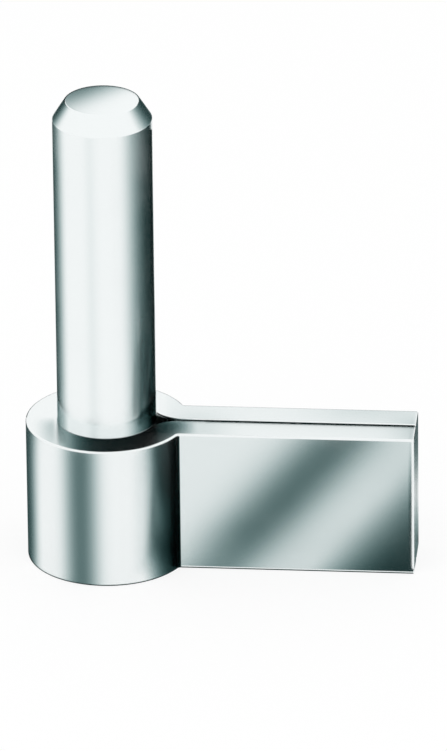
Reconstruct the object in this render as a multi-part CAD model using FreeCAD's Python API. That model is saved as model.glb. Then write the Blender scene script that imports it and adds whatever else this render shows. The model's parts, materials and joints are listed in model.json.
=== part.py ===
import FreeCAD, Part
import math
import os

# A hinge pin for a gate: a round pin held in the eye of a flat steel strap.
# The strap is one length of flat bar, folded round the pin, with its two leaves side by side.
# A gate's strap hinge drops over the pin and turns on it, resting on the top of the eye.
# The frame: +Z is the pin's axis, z = 0 is the top of the eye, +X runs along the leaves.

# Driving sizes, in millimetres
pin_diameter = 16.0
pin_reach = 56.0            # from the top of the eye to the tip
tip_chamfer_depth = 2.0     # lead-in cone at the tip, measured across the pin
tip_chamfer_height = 3.2    # the same cone, measured along the pin
tip_edge_radius = 0.4       # both edges of the cone are broken
shoulder = 0.25             # the pin is turned down by this where the eye grips it
foot_setback = 2.2          # the pin's foot stops this far above the underside

bar_thickness = 5.4
bar_width = 24.0
leaf_reach = 50.0           # from the pin's axis to the cut ends of the leaves
seam_gap = 0.4              # what stays open between the two closed leaves
crease_radius = 0.6         # outer radius where each leaf leaves the eye
bar_edge_break = 0.3        # small bevel on the bar's edges, wider than the shoulder so that nothing rides on it

weld_leg = 1.7              # fillet weld between the pin's foot and the eye
weld_crown = 0.25           # how far the weld's face stands proud of its chord

# Sizes that follow
pin_radius = pin_diameter / 2
seat_radius = pin_radius - shoulder
eye_bore_radius = seat_radius                     # the eye is closed tight on the pin's seat
eye_outer_radius = eye_bore_radius + bar_thickness
leaf_inner_y = seam_gap / 2
leaf_outer_y = leaf_inner_y + bar_thickness
underside_z = -bar_width
foot_z = underside_z + foot_setback


def vec(x, y, z=0.0):
    return FreeCAD.Vector(x, y, z)


def line(start, end):
    return Part.LineSegment(start, end).toShape()


def arc(start, middle, end):
    return Part.Arc(start, middle, end).toShape()


def arc_about(centre, start, end, toward):
    """An arc about centre from start to end, whose middle lies in the direction toward."""
    middle = centre + vec(toward.x, toward.y).normalize() * (start - centre).Length
    return arc(start, middle, end)


def mirrored(point):
    return vec(point.x, -point.y, point.z)


def bend_points():
    """The bend between the eye and one leaf, on the +Y side.

    The bar keeps its thickness through the bend, so its inner and outer faces share one centre.
    """
    centre_y = leaf_outer_y + crease_radius
    centre_r = eye_outer_radius + crease_radius
    centre = vec(math.sqrt(centre_r**2 - centre_y**2), centre_y)
    outward = vec(centre.x, centre.y).normalize()
    return {
        "centre": centre,
        "outward": outward,
        "outer_leaf": vec(centre.x, leaf_outer_y),
        "outer_eye": outward * eye_outer_radius,
        "inner_leaf": vec(centre.x, leaf_inner_y),
        "inner_eye": outward * eye_bore_radius,
    }


def strap_section():
    """The folded bar seen from above: one closed outline of even thickness."""
    bend = bend_points()
    centre = bend["centre"]
    axis = vec(0, 0)
    behind = vec(-1, 0)
    half_turn = (vec(0, -1) - bend["outward"]).normalize()
    end_outer = vec(leaf_reach, leaf_outer_y)
    end_inner = vec(leaf_reach, leaf_inner_y)

    def bend_arc(side, start, end):
        if side > 0:
            return arc_about(centre, start, end, half_turn)
        return arc_about(mirrored(centre), mirrored(start), mirrored(end), mirrored(half_turn))

    def span(side, start, end):
        if side > 0:
            return line(start, end)
        return line(mirrored(start), mirrored(end))

    edges = [
        span(+1, end_outer, bend["outer_leaf"]),
        bend_arc(+1, bend["outer_leaf"], bend["outer_eye"]),
        arc_about(axis, bend["outer_eye"], mirrored(bend["outer_eye"]), behind),
        bend_arc(-1, bend["outer_eye"], bend["outer_leaf"]),
        span(-1, bend["outer_leaf"], end_outer),
        span(-1, end_outer, end_inner),
        span(-1, end_inner, bend["inner_leaf"]),
        bend_arc(-1, bend["inner_leaf"], bend["inner_eye"]),
        arc_about(axis, mirrored(bend["inner_eye"]), bend["inner_eye"], behind),
        bend_arc(+1, bend["inner_eye"], bend["inner_leaf"]),
        span(+1, bend["inner_leaf"], end_inner),
        span(+1, end_inner, end_outer),
    ]
    return Part.Face(Part.Wire(edges))


def edges_to_break(solid):
    """The bar's long edges, above and below, and the corners of the cut ends."""
    found = []
    for edge in solid.Edges:
        box = edge.BoundBox
        flat = box.ZLength < 1e-6
        at_end = box.XMin > leaf_reach - 1e-6
        if flat or at_end:
            found.append(edge)
    return found


def folded_strap():
    solid = strap_section().extrude(vec(0, 0, -bar_width))
    return solid.makeChamfer(bar_edge_break, edges_to_break(solid))


def hinge_pin():
    """A turned bar: a seat in the eye, a shoulder on the eye's top, a plain shank and a lead-in cone."""
    tip_radius = pin_radius - tip_chamfer_depth
    cone_z = pin_reach - tip_chamfer_height
    corners = [
        vec(0, 0, foot_z),
        vec(seat_radius, 0, foot_z),
        vec(seat_radius, 0, 0),
        vec(pin_radius, 0, 0),
        vec(pin_radius, 0, cone_z),
        vec(tip_radius, 0, pin_reach),
        vec(0, 0, pin_reach),
    ]
    section = Part.Face(Part.makePolygon(corners + corners[:1]))
    turned = section.revolve(vec(0, 0), vec(0, 0, 1), 360)
    cone_edges = [
        edge
        for edge in turned.Edges
        if edge.BoundBox.ZLength < 1e-6
        and edge.BoundBox.XLength > 1e-6
        and edge.BoundBox.ZMin > cone_z - 1e-6
    ]
    return turned.makeFillet(tip_edge_radius, cone_edges)


def foot_weld():
    """A fillet weld round the pin's foot, in the corner that the setback leaves inside the eye."""
    corner = vec(eye_bore_radius, 0, foot_z)
    on_foot = corner - vec(weld_leg, 0, 0)
    on_eye = corner - vec(0, 0, weld_leg)
    chord_middle = (on_foot + on_eye) * 0.5
    crown = chord_middle + vec(-1, 0, 0).add(vec(0, 0, -1)).normalize() * weld_crown
    section = Part.Face(
        Part.Wire([line(corner, on_foot), arc(on_foot, crown, on_eye), line(on_eye, corner)])
    )
    return section.revolve(vec(0, 0), vec(0, 0, 1), 360)


PARTS = {
    "folded_strap": folded_strap,
    "hinge_pin": hinge_pin,
    "foot_weld": foot_weld,
}


def main():
    os.makedirs("parts", exist_ok=True)
    for name, make in PARTS.items():
        shape = make()
        box = shape.BoundBox
        print(
            f"{name}: valid {shape.isValid()}, {len(shape.Solids)} solid, {shape.Volume:.1f} mm3,",
            f"{box.XLength:.2f} x {box.YLength:.2f} x {box.ZLength:.2f} mm",
        )
        shape.exportStep(f"parts/{name}.step")


main()
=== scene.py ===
import json
import math

import bpy
import numpy as np
from mathutils import Matrix, Vector


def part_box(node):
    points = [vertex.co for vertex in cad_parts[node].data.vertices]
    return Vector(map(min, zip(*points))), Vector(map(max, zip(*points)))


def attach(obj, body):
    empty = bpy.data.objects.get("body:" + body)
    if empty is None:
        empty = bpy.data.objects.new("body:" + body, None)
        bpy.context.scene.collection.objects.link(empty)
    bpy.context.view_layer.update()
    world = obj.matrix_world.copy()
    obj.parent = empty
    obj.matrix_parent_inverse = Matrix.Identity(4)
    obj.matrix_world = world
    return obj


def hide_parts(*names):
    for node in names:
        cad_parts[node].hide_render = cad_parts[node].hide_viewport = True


# A weld-on hinge pin for a gate: a bright turned pin, held in the eye of a flat bar folded round it.
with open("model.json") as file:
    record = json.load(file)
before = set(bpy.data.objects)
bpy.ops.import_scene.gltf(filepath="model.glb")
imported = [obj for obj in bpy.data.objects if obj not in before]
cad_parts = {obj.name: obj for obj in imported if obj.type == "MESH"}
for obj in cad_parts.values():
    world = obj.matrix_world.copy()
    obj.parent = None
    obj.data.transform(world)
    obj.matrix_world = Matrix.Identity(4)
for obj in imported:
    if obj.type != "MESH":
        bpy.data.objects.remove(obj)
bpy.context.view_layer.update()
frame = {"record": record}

MM = 0.001

# Sizes, in millimetres, read from the CAD frame
mounts = {mount["name"]: mount for mount in frame["record"]["mounts"]}
strap_low, strap_high = (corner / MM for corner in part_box("folded_strap"))
pin_low, pin_high = (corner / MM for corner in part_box("hinge_pin"))

PIN_RADIUS = mounts["pin"]["dims"]["r_mm"]
PIN_TOP = pin_high.z
PIN_FOOT = pin_low.z
EYE_OUTER = -strap_low.x
LEAF_END = strap_high.x
UNDERSIDE = strap_low.z
BAR_WIDTH = -UNDERSIDE
LEAF_OUTER = mounts["leaf_back"]["pos_m"][1] / MM
LEAF_MIDDLE = -mounts["leaf_end"]["pos_m"][1] / MM
BAR_THICKNESS = 2 * (LEAF_OUTER - LEAF_MIDDLE)
EYE_BORE = EYE_OUTER - BAR_THICKNESS
EYE_MIDDLE = (EYE_OUTER + EYE_BORE) / 2

# Sizes that the frame doesn't give, in millimetres
CREASE_RADIUS = 0.6
CORNER_RADIUS = 0.36
CUT_END_ROUNDING = 0.26
CONE_DEPTH = 2.0
CONE_HEIGHT = 3.2
CONE_EDGE_RADIUS = 0.4
TIP_RADIUS = PIN_RADIUS - CONE_DEPTH
TIP_CROWN = 0.07
FOOT_EDGE_RADIUS = 0.3
SEAT_CORNER_RADIUS = 0.05
SHOULDER_EDGE_RADIUS = 0.01
WELD_LEG = 1.7
WELD_CROWN = 0.25


def linear(hex_colour):
    """An sRGB hex colour as the linear colour that shaders take."""
    values = [int(hex_colour[i : i + 2], 16) / 255 for i in (1, 3, 5)]
    values = [v / 12.92 if v <= 0.04045 else ((v + 0.055) / 1.055) ** 2.4 for v in values]
    return (*values, 1.0)


def add(tree, kind, inputs=None, **settings):
    """A node of that kind in the tree, with its settings, and its inputs set or linked."""
    node = tree.nodes.new(kind)
    for name, value in settings.items():
        setattr(node, name, value)
    for name, value in (inputs or {}).items():
        if isinstance(value, bpy.types.NodeSocket):
            tree.links.new(value, node.inputs[name])
        else:
            node.inputs[name].default_value = value
    return node


def new_material(name):
    material = bpy.data.materials.new(name)
    material.use_nodes = True
    material.node_tree.nodes.clear()
    return material, material.node_tree


def smooth(value, start, end):
    """0 on the far side of start and 1 beyond end, which may be the lower of the two, with a soft change."""
    t = np.clip((value - start) / (end - start), 0.0, 1.0)
    return t * t * (3 - 2 * t)


def hump(value, middle, width):
    """1 at the middle, falling softly to 0 on both sides."""
    return np.exp(-0.5 * ((value - middle) / width) ** 2)


def about_axis(radius, way):
    """Places round the pin's axis, each way in degrees from the front and growing towards the right."""
    return radius * np.sin(np.radians(way)), -radius * np.cos(np.radians(way))


# Camera: from the front, 5 degrees round towards the cut ends and 25 degrees above the level

CAMERA_YAW = math.radians(5.0)
CAMERA_PITCH = math.radians(25.0)
CAMERA_ROLL = math.radians(-0.65)
CAMERA_DISTANCE = 1800.0
PIXELS_PER_MM = 6.22
IMAGE_SIZE = (447, 751)
SENSOR_WIDTH = 36.0
SIGHT_POINT = Vector((18.0, 0.0, 16.0))
SIGHT_PIXEL = (217.0, 330.3)


def place_camera():
    toward = Vector(
        (
            math.sin(CAMERA_YAW) * math.cos(CAMERA_PITCH),
            -math.cos(CAMERA_YAW) * math.cos(CAMERA_PITCH),
            math.sin(CAMERA_PITCH),
        )
    )
    level = Vector((math.cos(CAMERA_YAW), math.sin(CAMERA_YAW), 0.0))
    rise = toward.cross(level)
    right = math.cos(CAMERA_ROLL) * level + math.sin(CAMERA_ROLL) * rise
    up = toward.cross(right)
    across = (IMAGE_SIZE[0] / 2 - SIGHT_PIXEL[0]) / PIXELS_PER_MM
    down = (IMAGE_SIZE[1] / 2 - SIGHT_PIXEL[1]) / PIXELS_PER_MM
    middle = SIGHT_POINT + across * right - down * up
    data = bpy.data.cameras.new("camera")
    data.sensor_width = SENSOR_WIDTH
    data.lens = SENSOR_WIDTH * CAMERA_DISTANCE / (max(IMAGE_SIZE) / PIXELS_PER_MM)
    data.clip_start = 0.1
    data.clip_end = 20.0
    camera = bpy.data.objects.new("camera", data)
    turn = Matrix((right, up, toward)).transposed().to_4x4()
    camera.matrix_world = Matrix.Translation((middle + toward * CAMERA_DISTANCE) * MM) @ turn
    bpy.context.collection.objects.link(camera)
    bpy.context.scene.camera = camera


def new_mesh(name, points, faces, normals, materials, face_materials=None):
    """A mesh object from points in millimetres, with its true normals at each point."""
    mesh = bpy.data.meshes.new(name)
    mesh.from_pydata((np.asarray(points) * MM).tolist(), [], faces)
    for material in materials:
        mesh.materials.append(material)
    if face_materials is not None:
        mesh.polygons.foreach_set("material_index", face_materials)
    mesh.shade_smooth()
    mesh.normals_split_custom_set_from_vertices(np.asarray(normals).tolist())
    mesh.validate()
    thing = bpy.data.objects.new(name, mesh)
    bpy.context.collection.objects.link(thing)
    return thing


# Folded strap: one section of flat bar carried along its bent middle line

CORNER_STEPS = 6
LEAF_STEP = 1.0
EYE_STEP = math.radians(1.5)
BEND_STEPS = 24
END_STEPS = 5


def bar_section(inset):
    """The bar's section as (out, up) points with their normals: a flat oblong with eased corners."""
    half_out = BAR_THICKNESS / 2 - inset
    half_up = BAR_WIDTH / 2 - inset
    radius = CORNER_RADIUS - inset
    points = []
    normals = []
    for quarter, (side_out, side_up) in enumerate(((1, 1), (-1, 1), (-1, -1), (1, -1))):
        for step in range(CORNER_STEPS + 1):
            angle = math.pi / 2 * (quarter + step / CORNER_STEPS)
            normal = (math.cos(angle), math.sin(angle))
            points.append(
                (
                    side_out * (half_out - radius) + radius * normal[0],
                    side_up * (half_up - radius) + radius * normal[1],
                )
            )
            normals.append(normal)
    return points, normals


def bar_stations():
    """Places along the bar's middle line: where it is, which way its outer face looks, how far along."""
    bend_y = LEAF_OUTER + CREASE_RADIUS
    bend_reach = EYE_OUTER + CREASE_RADIUS
    bend_x = math.sqrt(bend_reach**2 - bend_y**2)
    bend_turn = math.atan2(bend_x, bend_y)
    bend_middle = CREASE_RADIUS + BAR_THICKNESS / 2
    eye_start = math.atan2(bend_y, bend_x)
    half = []
    leaf_length = LEAF_END - bend_x
    leaf_steps = round(leaf_length / LEAF_STEP)
    for step in range(leaf_steps):
        along = leaf_length * step / leaf_steps
        half.append((LEAF_END - along, LEAF_MIDDLE, 0.0, 1.0, along))
    for step in range(BEND_STEPS):
        turn = bend_turn * step / BEND_STEPS
        out_x, out_y = math.sin(turn), math.cos(turn)
        half.append(
            (
                bend_x - bend_middle * out_x,
                bend_y - bend_middle * out_y,
                out_x,
                out_y,
                leaf_length + bend_middle * turn,
            )
        )
    eye_along = leaf_length + bend_middle * bend_turn
    eye_steps = round((math.pi - eye_start) / EYE_STEP)
    for step in range(eye_steps + 1):
        angle = eye_start + (math.pi - eye_start) * step / eye_steps
        out_x, out_y = math.cos(angle), math.sin(angle)
        half.append(
            (
                EYE_MIDDLE * out_x,
                EYE_MIDDLE * out_y,
                out_x,
                out_y,
                eye_along + EYE_MIDDLE * (angle - eye_start),
            )
        )
    whole = 2 * half[-1][4]
    other = [(x, -y, out_x, -out_y, whole - along) for x, y, out_x, out_y, along in half[-2::-1]]
    return np.array(half + other)


def build_strap(bar_material, end_material):
    stations = bar_stations()
    middle_up = UNDERSIDE + BAR_WIDTH / 2
    points, normals, places = [], [], []

    def add_ring(station, inset, push, lean):
        """One section of the bar, drawn in by inset, moved on by push and with its normals leaning on."""
        x, y, out_x, out_y, along = station
        ahead_x, ahead_y = -out_y, out_x
        level, ahead = math.cos(lean), math.sin(lean)
        for (out, up), (normal_out, normal_up) in zip(*bar_section(inset)):
            points.append(
                (x + out * out_x + push * ahead_x, y + out * out_y + push * ahead_y, middle_up + up)
            )
            normals.append(
                (
                    level * normal_out * out_x + ahead * ahead_x,
                    level * normal_out * out_y + ahead * ahead_y,
                    level * normal_up,
                )
            )
            places.append((along + push, out, up))

    # The edges of the cut ends are rounded by rings that draw in and lean over
    end_rings = []
    for step in range(END_STEPS + 1):
        lean = math.pi / 2 * (1 - step / (END_STEPS + 1))
        inset = CUT_END_ROUNDING * (1 - math.cos(lean))
        push = CUT_END_ROUNDING * (1 - math.sin(lean))
        end_rings.append((inset, push, lean))
    for inset, push, lean in end_rings:
        add_ring(stations[0], inset, push, -lean)
    for station in stations[1:-1]:
        add_ring(station, 0.0, 0.0, 0.0)
    for inset, push, lean in reversed(end_rings):
        add_ring(stations[-1], inset, -push, lean)

    count = 4 * (CORNER_STEPS + 1)
    rings = len(points) // count
    faces = []
    for ring in range(rings - 1):
        a, b = ring * count, (ring + 1) * count
        for i in range(count):
            j = (i + 1) % count
            faces.append((a + i, b + i, b + j, a + j))
    face_materials = [0] * len(faces) + [1, 1]
    faces.append(tuple(range(count)))
    faces.append(tuple(range(rings * count - 1, (rings - 1) * count - 1, -1)))
    strap = new_mesh(
        "folded_flat_bar", points, faces, normals, [bar_material, end_material], face_materials
    )
    bar = strap.data.attributes.new("bar", "FLOAT_VECTOR", "POINT")
    bar.data.foreach_set("vector", np.array(places, np.float32).ravel())
    return strap


# Hinge pin: a turned outline carried round the pin's axis

PIN_SEGMENTS = 192
EDGE_STEPS = 6
CROWN_STEPS = 11
AXIS_RADIUS = 0.02


def turned_outline(corners):
    """The outline of a turned piece, each corner (radius, height, rounding), with its normals."""
    outline = []
    for i, (radius, height, rounding) in enumerate(corners):
        here = np.array((radius, height), float)
        ways = []
        for other in (i - 1, i + 1):
            if 0 <= other < len(corners):
                way = np.array(corners[other][:2], float) - here
                ways.append(way / np.hypot(*way))
        if len(ways) == 1:
            along = -ways[0] if i else ways[0]
            outline.append((here, np.array((along[1], -along[0]))))
            continue
        back, on = ways
        before = np.array((-back[1], back[0]))
        after = np.array((on[1], -on[0]))
        bend = math.acos(max(-1.0, min(1.0, float(before @ after))))
        setback = rounding * math.tan(bend / 2)
        turn = before[0] * after[1] - before[1] * after[0]
        centre_side = -1 if turn > 0 else 1
        centre = here + back * setback + centre_side * rounding * before
        for step in range(EDGE_STEPS + 1):
            share = step / EDGE_STEPS
            normal = (
                math.sin((1 - share) * bend) * before + math.sin(share * bend) * after
            ) / math.sin(bend)
            outline.append((centre - centre_side * rounding * normal, normal))
    return outline


def pin_outline():
    """From the foot up the seat, the shoulder, the shank and the cone, then in over the crowned tip."""
    edge_height = PIN_TOP - TIP_CROWN
    outline = turned_outline(
        [
            (AXIS_RADIUS, PIN_FOOT, 0.0),
            (EYE_BORE, PIN_FOOT, FOOT_EDGE_RADIUS),
            (EYE_BORE, 0.0, SEAT_CORNER_RADIUS),
            (PIN_RADIUS, 0.0, SHOULDER_EDGE_RADIUS),
            (PIN_RADIUS, PIN_TOP - CONE_HEIGHT, CONE_EDGE_RADIUS),
            (TIP_RADIUS, edge_height, CONE_EDGE_RADIUS),
            (AXIS_RADIUS, edge_height, 0.0),
        ]
    )
    outline.pop()
    rim_radius = outline[-1][0][0]
    for share in np.linspace(0.0, 1.0, CROWN_STEPS + 1)[1:]:
        radius = rim_radius * (1 - share) + AXIS_RADIUS * share
        rise = TIP_CROWN * (1 - (radius / rim_radius) ** 2)
        slope = 2 * TIP_CROWN * radius / rim_radius**2
        normal = np.array((slope, 1.0)) / math.hypot(slope, 1.0)
        outline.append((np.array((radius, edge_height + rise)), normal))
    return outline


def build_pin(shank_material, turned_material):
    outline = pin_outline()
    points, normals, faces, face_materials = [], [], [], []
    for (radius, height), (normal_out, normal_up) in outline:
        for k in range(PIN_SEGMENTS):
            angle = 2 * math.pi * k / PIN_SEGMENTS
            c, s = math.cos(angle), math.sin(angle)
            points.append((radius * c, radius * s, height))
            normals.append((normal_out * c, normal_out * s, normal_up))
    for i in range(len(outline) - 1):
        a, b = i * PIN_SEGMENTS, (i + 1) * PIN_SEGMENTS
        on_shank = min(outline[i][0][0], outline[i + 1][0][0]) > PIN_RADIUS - 1e-6
        for k in range(PIN_SEGMENTS):
            m = (k + 1) % PIN_SEGMENTS
            faces.append((a + k, a + m, b + m, b + k))
            face_materials.append(0 if on_shank else 1)
    return new_mesh(
        "turned_hinge_pin", points, faces, normals, [shank_material, turned_material], face_materials
    )


# Foot weld: a hand-run bead in the corner between the pin's foot and the eye, seen from below

WELD_SEGMENTS = 480
WELD_STEPS = 14
RIPPLE_PITCH = 1.1
RIPPLE_HEIGHT = 0.05
RIPPLE_SWEEP = 1.3


def build_weld(material):
    corner = np.array((EYE_BORE, PIN_FOOT))
    chord_middle = corner - WELD_LEG / 2
    chord_half = WELD_LEG / math.sqrt(2)
    proud = np.array((-1.0, -1.0)) / math.sqrt(2)
    along_chord = np.array((1.0, -1.0)) / math.sqrt(2)
    ripples = round(2 * math.pi * (EYE_BORE - WELD_LEG / 2) / RIPPLE_PITCH)
    points, faces = [], []
    for k in range(WELD_SEGMENTS):
        angle = 2 * math.pi * k / WELD_SEGMENTS
        # The crown wanders a few hundredths, as a hand does
        wander = 0.06 * math.sin(3 * angle + 0.7) + 0.04 * math.sin(7 * angle + 2.1)
        for step in range(WELD_STEPS + 1):
            share = 2 * step / WELD_STEPS - 1
            phase = ripples * angle + RIPPLE_SWEEP * math.pi * share**2
            # Round crests with sharp valleys between them
            ripple = abs(math.sin(phase / 2)) ** 0.8 - 0.6
            rise = (WELD_CROWN * (1 + wander) + RIPPLE_HEIGHT * ripple) * (1 - share**2)
            radius, height = chord_middle + along_chord * chord_half * share + proud * rise
            points.append((radius * math.cos(angle), radius * math.sin(angle), height))
    count = WELD_STEPS + 1
    for k in range(WELD_SEGMENTS):
        m = (k + 1) % WELD_SEGMENTS
        for i in range(WELD_STEPS):
            faces.append((k * count + i, m * count + i, m * count + i + 1, k * count + i + 1))
    grid = np.array(points).reshape(WELD_SEGMENTS, count, 3)
    round_way = np.roll(grid, -1, 0) - np.roll(grid, 1, 0)
    across_way = np.gradient(grid, axis=1)
    normals = np.cross(round_way, across_way)
    normals /= np.linalg.norm(normals, axis=2, keepdims=True)
    return new_mesh("foot_weld_bead", points, faces, normals.reshape(-1, 3), [material])


# Materials


def object_place(tree):
    """The place on the piece in millimetres, so that each pattern's scale is a real size."""
    place = add(tree, "ShaderNodeTexCoord").outputs["Object"]
    scaled = add(tree, "ShaderNodeVectorMath", {0: place, 1: (1000, 1000, 1000)}, operation="MULTIPLY")
    return scaled.outputs[0]


def bar_place(tree):
    """The place on the bar in millimetres: along it, out through its thickness, and up its width."""
    return add(tree, "ShaderNodeAttribute", attribute_name="bar").outputs["Vector"]


def noise(tree, place, per_mm, detail, roughness=0.5):
    """Noise that changes about so many times a millimetre along each axis."""
    scaled = add(tree, "ShaderNodeVectorMath", {0: place, 1: per_mm}, operation="MULTIPLY")
    texture = add(
        tree,
        "ShaderNodeTexNoise",
        {"Vector": scaled.outputs[0], "Scale": 1.0, "Detail": detail, "Roughness": roughness},
    )
    return texture.outputs["Fac"]


def spread(tree, value, low, high):
    """Noise, which mostly lies between 0.3 and 0.7, spread from low to high."""
    mapped = add(
        tree,
        "ShaderNodeMapRange",
        {"Value": value, "From Min": 0.3, "From Max": 0.7, "To Min": low, "To Max": high},
    )
    return mapped.outputs[0]


def bumped(tree, height, strength, depth):
    """A normal bumped by a pattern of heights, depth millimetres deep."""
    bump = add(tree, "ShaderNodeBump", {"Height": height, "Strength": strength, "Distance": depth * MM})
    return bump.outputs[0]


def set_steel(tree, colour, roughness, normal):
    """Ends the tree in bare steel of that colour, roughness and normal."""
    shader = add(
        tree,
        "ShaderNodeBsdfPrincipled",
        {"Base Color": colour, "Metallic": 1.0, "Roughness": roughness, "Normal": normal},
    )
    add(tree, "ShaderNodeOutputMaterial", {"Surface": shader.outputs[0]})


def cold_rolled_flat_bar():
    # Bright cold-rolled flat bar: polished rolls leave a smooth cool grey, with a faint grain along it.
    material, tree = new_material("cold-rolled steel flat bar, bright")
    place = bar_place(tree)
    grain = noise(tree, place, (0.06, 3.0, 3.0), 4.0, 0.6)
    patches = noise(tree, place, (0.12, 0.12, 0.12), 2.0)
    set_steel(tree, linear("#F2F6F6"), spread(tree, patches, 0.21, 0.27), bumped(tree, grain, 0.25, 0.004))
    return material


def sheared_bar_end():
    # Sheared steel: the blade tears the bar off, so the cut is dull and grainy.
    material, tree = new_material("sheared steel bar end")
    grit = noise(tree, bar_place(tree), (2.5, 2.5, 2.5), 5.0, 0.65)
    set_steel(tree, linear("#E4E9E9"), spread(tree, grit, 0.22, 0.32), bumped(tree, grit, 0.6, 0.03))
    return material


def drawn_shank():
    # Bright drawn bar: the die leaves a smooth shine with hair-fine lines along the pin.
    material, tree = new_material("bright drawn steel shank")
    place = object_place(tree)
    lines = noise(tree, place, (2.5, 2.5, 0.05), 4.0, 0.6)
    patches = noise(tree, place, (0.12, 0.12, 0.12), 2.0)
    set_steel(tree, linear("#F4F8F8"), spread(tree, patches, 0.2, 0.26), bumped(tree, lines, 0.25, 0.004))
    return material


TURNING_PITCH = 0.35


def turned_faces():
    # Lathe-turned steel: the tool leaves fine rings round the cone and the tip, here coarse enough to show.
    material, tree = new_material("lathe-turned steel")
    parts = add(tree, "ShaderNodeSeparateXYZ", {0: object_place(tree)})
    flat = add(tree, "ShaderNodeCombineXYZ", {"X": parts.outputs["X"], "Y": parts.outputs["Y"]})
    radius = add(tree, "ShaderNodeVectorMath", {0: flat.outputs[0]}, operation="LENGTH")
    per_mm = 2 * math.pi / TURNING_PITCH
    feed = add(tree, "ShaderNodeMath", {0: radius.outputs["Value"], 1: per_mm}, operation="MULTIPLY")
    rings = add(tree, "ShaderNodeMath", {0: feed.outputs[0]}, operation="SINE")
    set_steel(tree, linear("#F4F8F8"), 0.22, bumped(tree, rings.outputs[0], 0.2, 0.003))
    return material


def brushed_weld():
    # Mild steel weld, wire-brushed: grey and satin, mottled where the brush has left some of the scale.
    material, tree = new_material("wire-brushed steel weld")
    scale_marks = noise(tree, object_place(tree), (1.6, 1.6, 1.6), 4.0, 0.6)
    colour = add(
        tree,
        "ShaderNodeMix",
        {"Factor": scale_marks, "A": linear("#6F7474"), "B": linear("#B4BABA")},
        data_type="RGBA",
    )
    set_steel(tree, colour.outputs["Result"], 0.38, bumped(tree, scale_marks, 0.5, 0.02))
    return material


# Studio: a pale floor, one soft lamp, and films that paint shade into what the steel mirrors, in place of
# dark cards

FLOOR_HALF = 4000.0
FLOOR_GLOW = 0.84


def pale_floor_material():
    # Seamless white paper: mostly its own plain white to the eye and to the steel, and matt to take a shadow.
    material, tree = new_material("seamless white paper")
    matt = add(tree, "ShaderNodeBsdfDiffuse", {"Color": linear("#F4F4F4")})
    glow = add(tree, "ShaderNodeEmission", {"Color": (1, 1, 1, 1), "Strength": 1.0})
    mixed = add(tree, "ShaderNodeMixShader", {0: FLOOR_GLOW, 1: matt.outputs[0], 2: glow.outputs[0]})
    rays = add(tree, "ShaderNodeLightPath").outputs
    seen = rays["Is Camera Ray"]
    for kind in ("Is Glossy Ray", "Is Transmission Ray"):
        seen = add(tree, "ShaderNodeMath", {0: seen, 1: rays[kind]}, operation="MAXIMUM").outputs[0]
    either = add(tree, "ShaderNodeMixShader", {0: seen, 1: matt.outputs[0], 2: mixed.outputs[0]})
    add(tree, "ShaderNodeOutputMaterial", {"Surface": either.outputs[0]})
    return material


def build_floor():
    h = FLOOR_HALF
    points = [(-h, -h, UNDERSIDE), (h, -h, UNDERSIDE), (h, h, UNDERSIDE), (-h, h, UNDERSIDE)]
    floor = new_mesh("floor", points, [(0, 1, 2, 3)], [(0, 0, 1)] * 4, [pale_floor_material()])


def film_material(one_way):
    # Painted shade film: only dims what lies behind it, warm light first, so the shade it paints into the
    # steel is cool.
    material, tree = new_material("painted shade film")
    tint = add(tree, "ShaderNodeAttribute", attribute_name="film").outputs["Color"]
    if one_way:
        inner = add(tree, "ShaderNodeAttribute", attribute_name="inner_film").outputs["Color"]
        side = add(tree, "ShaderNodeNewGeometry").outputs["Backfacing"]
        tint = add(
            tree, "ShaderNodeMix", {"Factor": side, "A": tint, "B": inner}, data_type="RGBA"
        ).outputs["Result"]
    film = add(tree, "ShaderNodeBsdfTransparent", {"Color": tint})
    add(tree, "ShaderNodeOutputMaterial", {"Surface": film.outputs[0]})
    return material


def glowing_highlight_material():
    # Glowing card for a painted highlight: lights the narrow edge that it stands by, and nothing else.
    material, tree = new_material("painted highlight card")
    glow = add(tree, "ShaderNodeEmission", {"Color": (1, 1, 1, 1), "Strength": 1.0})
    add(tree, "ShaderNodeOutputMaterial", {"Surface": glow.outputs[0]})
    return material


def new_sheet(name, points, material):
    """A sheet through a grid of points in millimetres, which only the steel mirrors."""
    points = np.stack(np.broadcast_arrays(*points), axis=-1)
    rows, columns = points.shape[:2]
    faces = []
    for j in range(rows - 1):
        for i in range(columns - 1):
            a = j * columns + i
            faces.append((a, a + 1, a + columns + 1, a + columns))
    mesh = bpy.data.meshes.new(name)
    mesh.from_pydata((points.reshape(-1, 3) * MM).tolist(), [], faces)
    mesh.materials.append(material)
    sheet = bpy.data.objects.new(name, mesh)
    bpy.context.collection.objects.link(sheet)
    for kind in ("camera", "diffuse", "transmission", "volume_scatter", "shadow"):
        setattr(sheet, "visible_" + kind, False)
    return sheet, (rows, columns)


# How much more of the red a film takes than of the green and blue, so that its painted shade is cool
WARM_LOSS = 1.27


def hang_film(name, points, density, inner_density=None):
    """A film of painted shade that lets exp(-density) of the light through, with another density from its
    back if given.
    """
    film, shape = new_sheet(name, points, film_material(inner_density is not None))
    for attribute, dark in (("film", density), ("inner_film", inner_density)):
        if dark is not None:
            clear = np.exp(-np.broadcast_to(dark, shape))
            tint = np.stack([clear**WARM_LOSS, clear, clear, np.ones_like(clear)], axis=-1)
            colours = film.data.attributes.new(attribute, "FLOAT_COLOR", "POINT")
            colours.data.foreach_set("color", tint.reshape(-1).astype(np.float32))


# For each millimetre that a thing is away, an upright face mirrors it this much lower and further left
MIRROR_FALL = math.tan(CAMERA_PITCH)
MIRROR_DRIFT = math.tan(CAMERA_YAW)

# The floor's film of painted shade: its corners, its step, and where it starts, since the eye and the leaves
# mirror the rest
FLOOR_FILM_LOW = (-190.0, -200.0)
FLOOR_FILM_HIGH = (230.0, 190.0)
FLOOR_FILM_STEP = 2.5
FLOOR_FILM_STARTS = (56.0, 62.0)

# How far out the films of the eye and the leaves lie along the floor before they turn up
EYE_FILM_OFF = 2.4
LEAF_FILM_OFF = 9.4


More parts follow.
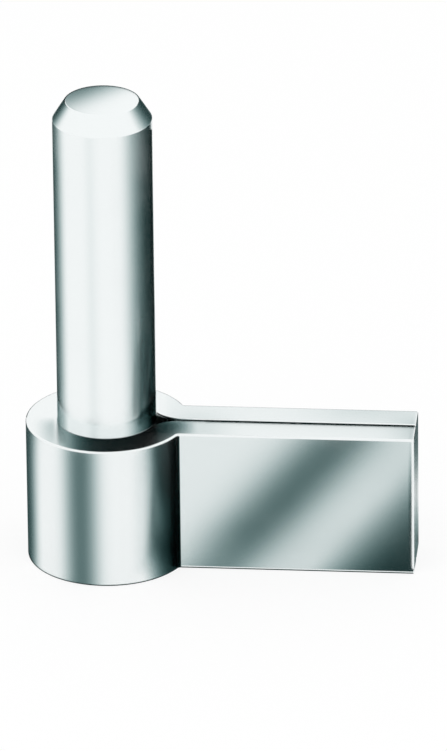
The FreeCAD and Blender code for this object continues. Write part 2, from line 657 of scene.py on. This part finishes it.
def mirrored_way(x, y, radius):
    """The way, in degrees from the front, of the light that an upright round sends on to that place."""
    place = np.arctan2(x, -y)
    share = radius / np.hypot(x, y)
    way = place
    for _ in range(12):
        way = place + np.arcsin(np.clip(share * np.sin((way - CAMERA_YAW) / 2), -0.99, 0.99))
    return np.degrees(way)


def pin_density(way):
    """The painted shade round about that the pin mirrors: dark on the right, at the left edge and in a faint
    stripe.
    """
    right = 3.5 * smooth(way, 32, 137) ** 1.5 * smooth(way, 162, 146)
    left = 2.7 * smooth(-way, 88, 158) ** 1.2 * smooth(-way, 179, 168)
    stripe = 0.1 * hump(way, -25, 8)
    return right + left + stripe


def eye_density(way):
    """The painted shade near by that the eye mirrors: a dark wedge in front, and dark at the left edge."""
    wedge = 1.65 * hump(way, -34, 14.5)
    left = 2.6 * smooth(-way, 98, 150) ** 1.6 * smooth(-way, 206, 170)
    return wedge + left


def leaf_density(x, height):
    """How dark each place of a leaf is painted: a slanting dark stripe as a painted reflection, and a dark
    lower corner as painted shade.
    """
    base = 0.12 + 0.13 * smooth(x - 0.85 * height, 18, 28)
    off = x - 18.9 - 0.85 * height
    stripe = (1.15 + 0.6 * smooth(height, 0, 8)) * hump(off, 0, np.where(off < 0, 4.4, 3.6))
    corner = 3.0 * smooth(x - 0.88 * height, 32.0, 48.0)
    return base + stripe + corner


def ends_patch(xs, ys):
    """Where on the floor the cut ends mirror it, and the painted shade there: dark, light, then dark again.
    """
    share = smooth(xs, 44, 48) * smooth(xs, 66, 60) * smooth(ys, -5, -3) * smooth(ys, 62, 56)
    return share, 0.1 + 1.9 * (1 - hump(ys, 25, 10.96))


def hang_floor_film():
    # Painted shade on the floor, seen only in the steel: the pin's dark surroundings and the cut ends' patch
    xs = np.arange(FLOOR_FILM_LOW[0], FLOOR_FILM_HIGH[0], FLOOR_FILM_STEP)[None, :]
    ys = np.arange(FLOOR_FILM_LOW[1], FLOOR_FILM_HIGH[1], FLOOR_FILM_STEP)[:, None]
    density = pin_density(mirrored_way(xs, ys, PIN_RADIUS))
    density = density * smooth(np.hypot(xs, ys), *FLOOR_FILM_STARTS)
    at_ends, ends = ends_patch(xs, ys)
    hang_film("floor_film", (xs, ys, UNDERSIDE + 0.2), density * (1 - at_ends) + ends * at_ends)


def hang_eye_film():
    """Painted shade round the eye's front, left and back: out along the floor, then upright."""
    radii = np.linspace(EYE_OUTER - 0.2, EYE_OUTER + EYE_FILM_OFF, 7)
    radii = np.append(radii, radii[-1])[:, None]
    heights = np.append(np.full(7, UNDERSIDE + 0.3), -MIRROR_FALL * EYE_FILM_OFF)[:, None]
    xs, ys = about_axis(radii, np.linspace(138, 402, 133)[None, :])
    way = np.unwrap(mirrored_way(xs, ys, EYE_OUTER), axis=1, period=360) - 360
    hang_film("eye_film", (xs, ys, heights), eye_density(way))


def hang_leaf_films():
    """Painted shade before each leaf: along the floor, then upright."""
    for side, name, beyond in ((-1, "front", 5.0), (1, "back", 0.6)):
        heights = np.linspace(0.0, BAR_WIDTH + 1, 41)[:, None]
        xs = np.linspace(7.0, LEAF_END + beyond, 72)[None, :]
        off = np.minimum(heights / MIRROR_FALL, LEAF_FILM_OFF)
        rise = np.maximum(heights - LEAF_FILM_OFF * MIRROR_FALL, 0.0)
        hang_film(
            f"leaf_film_{name}",
            (xs - MIRROR_DRIFT * off, side * (LEAF_OUTER + off), UNDERSIDE + 0.5 + rise),
            leaf_density(xs, heights) * smooth(xs, 7, 12),
        )


def hang_corner_films():
    """Painted shade in the corner between the eye and each leaf: close round the eye, and across the crease.
    """
    heights = np.array([[UNDERSIDE + 0.05], [-0.4]])
    for side, name in ((-1, "front"), (1, "back")):
        turns = np.linspace(24.0, 65.4, 60)[None, :]
        xs, ys = about_axis(EYE_OUTER + 0.3, turns)
        hang_film(f"eye_side_film_{name}", (xs, -side * ys, heights), 3.2 * smooth(turns, 28, 61) ** 1.2)
        # Across the crease, painted shade only for what the crease mirrors
        off = np.linspace(0.02, 1.6, 12)[None, ::-side]
        xs, ys = 12.4 + 0.62 * off, side * (LEAF_OUTER + off)
        hang_film(f"crease_film_{name}", (xs, ys, heights), 2.2 * smooth(off, 1.6, 0.7), 0.0)


def hang_foot_film():
    """Painted shade round the pin's foot: from outside it darkens the pin in the eye's top, from inside the
    pin itself.
    """
    turns = np.linspace(-180, 180, 181)[None, :]
    radius = PIN_RADIUS + 0.08
    heights = np.concatenate([np.linspace(0.01, 5.0, 40), np.linspace(6.0, 20.0, 10)])[:, None]
    xs, ys = about_axis(radius, turns)
    outer = 5.2 * smooth(1.04 * np.sin(np.radians(turns)), -1.05, 0.3) ** 0.8 * smooth(heights, 20.0, 8.0)
    # The pin mirrors the eye's top up to the height from which its light clears the rim
    way = mirrored_way(xs, ys, PIN_RADIUS)
    aside = PIN_RADIUS * np.sin((np.radians(way) - CAMERA_YAW) / 2)
    clears = MIRROR_FALL * (np.sqrt(EYE_OUTER**2 - aside**2) - np.sqrt(radius**2 - aside**2))
    fades_from = clears * (0.95 - 0.35 * smooth(-way, 80, 95))
    fades_to = clears * (1.1 + 0.4 * smooth(way, 80, 95) + 0.2 * smooth(-way, 80, 95))
    inner = pin_density(way) * smooth(heights, fades_to, fades_from)
    inner = inner * (1 - 0.8 * smooth(way, 118, 150) * smooth(heights, 0.6, 2.4))
    inner = inner * (1 - 0.5 * smooth(-way, 95, 135))
    # Above that, its painted shade makes up for the light patch behind the cut ends and for the leaf's front
    # edge
    far_x, far_y = about_axis((heights - UNDERSIDE) / MIRROR_FALL, way)
    at_ends, ends = ends_patch(xs + far_x, ys + far_y)
    lack = 0.75 * at_ends * np.maximum(pin_density(way) - ends, 0.0) * smooth(heights, 5.0, 7.0)
    beside = 0.65 * hump(way, 91, 6) * smooth(heights, 0.8, 1.8) * smooth(heights, 19.0, 13.0)
    hang_film("foot_film", (xs, ys, heights), outer, inner + lack + beside)


def hang_side_films():
    """Painted shade beside the pin: over the eye's sides and the crease, and up the pin's right edge."""
    low = np.concatenate([np.linspace(0.03, 2.0, 8), np.linspace(2.5, 10.0, 10)])
    high = np.linspace(12.0, PIN_TOP - 5, 7)
    heights = np.concatenate([low, high])[:, None]
    xs = np.linspace(PIN_RADIUS + 0.06, 16.0, 50)[None, :]
    # The eye's top and the leaves mirror it up to the height where their front rim does
    rim = MIRROR_FALL * np.maximum(np.sqrt(np.maximum(EYE_OUTER**2 - xs**2, 0.0)), LEAF_OUTER)
    over_eye = 4.0 * smooth(xs, 15.0, 7.4) * smooth(heights, -0.6, 1.2) * smooth(heights, rim + 1.2, rim)
    edge = 3.0 * smooth(xs, 9.7, 8.7) * smooth(heights, 0, 5)
    hang_film("right_side_film", (xs, 0.0, heights), np.maximum(over_eye, edge))
    xs = np.linspace(-EYE_OUTER, -PIN_RADIUS - 0.06, 20)[None, :]
    heights = low[:, None]
    dark = 0.6 * smooth(xs, -12.8, -8.0) ** 1.5 * smooth(xs, -8.2, -8.9)
    hang_film(
        "left_side_film",
        (xs, 0.0, heights),
        dark * smooth(heights, 0.0, 2.0) * smooth(heights, 9.0, 2.0),
    )


def hang_leaf_top_film():
    """Painted shade over the leaves' tops, dark only from above: it darkens the pin's right side where it
    mirrors them.
    """
    xs = np.linspace(PIN_RADIUS + 1.5, LEAF_END, 82)[None, :]
    ys = np.linspace(-LEAF_OUTER, LEAF_OUTER, 17)[:, None]
    off_eye = smooth(np.hypot(xs, ys), EYE_OUTER - 1.2, EYE_OUTER + 0.2)
    hang_film("leaf_top_film", (xs, ys, 0.12), pin_density(mirrored_way(xs, ys, PIN_RADIUS)) * off_eye, 0.0)


def hang_seam_film():
    """Painted shade down the seam, and a little above it for a crisp dark line."""
    heights = np.array([[UNDERSIDE], [0.2], [0.35], [0.5]])
    density = np.array([[4.0], [4.0], [2.5], [0.0]])
    hang_film("seam_film", (np.array([[PIN_RADIUS, LEAF_END]]), 0.0, heights), density)


def hang_edge_films():
    """Painted shade close along the outline: at the foot, and just below the rim at the back, for thin dark
    edges.
    """
    x, y, out_x, out_y = bar_stations()[None, :, :4].transpose(2, 0, 1)
    off = np.linspace(-0.35, 0.8, 12)[:, None]
    out = BAR_THICKNESS / 2 + off
    foot = (x + out * out_x, y + out * out_y, UNDERSIDE + 0.06)
    hang_film("foot_edge_film", foot, 3.5 * smooth(off, 0.5, 0.05))
    behind = y[0] > 0
    out = BAR_THICKNESS / 2 + 0.1
    heights = np.array([[-0.75], [0.0], [0.1], [0.18]])
    rim = ((x + out * out_x)[:, behind], (y + out * out_y)[:, behind], heights)
    hang_film("back_rim_film", rim, np.array([[2.7], [2.7], [1.8], [0.0]]))


def hang_tip_back_film():
    """Painted shade behind the pin's tip, for a soft dark over its far left."""
    back = 8.6
    xs = np.linspace(-10, 10, 61)[None, :]
    rises = np.linspace(0.4, 9.0, 44)[:, None]
    # Where on the tip each place of the film is mirrored
    tip_x = xs - MIRROR_DRIFT * rises / MIRROR_FALL
    tip_y = back - rises / MIRROR_FALL
    dark = 0.016 * np.clip(1.0 - tip_x + tip_y, 0.0, 9.5) ** 2 * smooth(tip_x, -9.5, -7.5)
    hang_film("tip_back_film", (xs, back, PIN_TOP + rises), dark)


def hang_back_films():
    """Two flat upright films of painted shade, behind the pin on either side, for the dark sides of its cone.
    """
    rises = np.linspace(-15.0, 24.0, 60)[:, None]
    xs, ys = np.linspace(34, 3, 60)[None, :], np.linspace(-2, 37, 60)[None, :]
    around = np.degrees(np.arctan2(xs, -ys))
    # How steeply each place lies above or below the middle of the cone
    slope = (rises + CONE_HEIGHT / 2) / (np.hypot(xs, ys) - (PIN_RADIUS - CONE_DEPTH / 2))
    top = 0.68 - 0.75 * smooth(around, 135, 165)
    reach = smooth(slope, -0.44, -0.28) * smooth(slope, top + 0.19, top - 0.19) * smooth(around, 175, 164)
    for side, name, start, end, most in ((1, "right", 79, 145, 3.1), (-1, "left", 93, 141, 3.2)):
        dark = most * smooth(around, start, end) ** 1.15
        hang_film(f"back_{name}_film", (side * xs, ys, PIN_TOP + rises), dark * reach)


def hang_tip_edge_film():
    """Painted shade round the back of the tip's edge, for a thin dark line."""
    xs, ys = about_axis(TIP_RADIUS + 0.05, np.linspace(80, 280, 80)[None, :])
    heights = PIN_TOP + np.array([[-0.4], [0.12], [0.3]])
    hang_film("tip_edge_film", (xs, ys, heights), np.array([[2.2], [2.2], [0.0]]))


def hang_high_film():
    """Painted shade behind the leaves, for faint cloudy tones on their tops: its lower part for the back
    leaf's.
    """
    xs = np.linspace(8, 58, 60)[None, :]
    heights = np.linspace(3.0, 14.0, 14)[:, None]
    back_leaf = 0.06 + 0.2 * hump(xs, 41, 6)
    front_leaf = 0.05 + 0.7 * hump(xs, 50.5, 3) + 0.3 * hump(xs, 13, 3)
    front = smooth(heights, 7.6, 9.2)
    dark = (back_leaf * (1 - front) + front_leaf * front) * smooth(heights, 3.0, 5.0)
    hang_film("high_film", (xs, 18.0, heights), dark * smooth(heights, 14.0, 12.0))


def stand_edge_card():
    """A glowing card curled close round the front corner of the cut end, so that its rounded edge shines: a
    painted highlight.
    """
    xs, ys = about_axis(1.2, np.linspace(8, 165, 40)[None, :])
    edge_x = LEAF_END - CUT_END_ROUNDING / 2
    edge_y = -LEAF_OUTER + CUT_END_ROUNDING / 2
    heights = np.array([[UNDERSIDE + 0.3], [0.0]])
    card, _ = new_sheet("edge_highlight_card", (edge_x + xs, edge_y + ys, heights), glowing_highlight_material())


def hang_films():
    hang_floor_film()
    hang_eye_film()
    hang_leaf_films()
    hang_corner_films()
    hang_foot_film()
    hang_side_films()
    hang_leaf_top_film()
    hang_seam_film()
    hang_edge_films()
    hang_tip_back_film()
    hang_back_films()
    hang_tip_edge_film()
    hang_high_film()
    stand_edge_card()


def light_world():
    world = bpy.data.worlds.new("studio")
    bpy.context.scene.world = world
    world.use_nodes = True
    tree = world.node_tree
    tree.nodes.clear()
    white = add(tree, "ShaderNodeBackground", {"Color": (1, 1, 1, 1), "Strength": 1.0})
    add(tree, "ShaderNodeOutputWorld", {"Surface": white.outputs[0]})


# The lamp's size and distance in metres, its power in watts, and where it stands
LAMP_SIZE = 0.5
LAMP_DISTANCE = 0.9
LAMP_POWER = 1.2
LAMP_SIDE = Vector((-0.4, -0.55, 0.95))


def place_lamp():
    data = bpy.data.lights.new("softbox", "AREA")
    data.shape = "SQUARE"
    data.size = LAMP_SIZE
    data.energy = LAMP_POWER
    lamp = bpy.data.objects.new("softbox", data)
    toward = LAMP_SIDE.normalized()
    lamp.location = SIGHT_POINT * MM + toward * LAMP_DISTANCE
    lamp.rotation_mode = "QUATERNION"
    lamp.rotation_quaternion = toward.to_track_quat("Z", "Y")
    lamp.visible_glossy = False
    bpy.context.collection.objects.link(lamp)


strap = build_strap(cold_rolled_flat_bar(), sheared_bar_end())
pin = build_pin(drawn_shank(), turned_faces())
weld = build_weld(brushed_weld())

for piece, node, finish in (
    (strap, "folded_strap", "strap_steel"),
    (pin, "hinge_pin", "pin_steel"),
    (weld, "foot_weld", "weld_steel"),
):
    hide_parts(node)
    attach(piece, "root")

build_floor()
hang_films()
light_world()
place_lamp()
place_camera()
bpy.context.scene.view_settings.view_transform = "Standard"
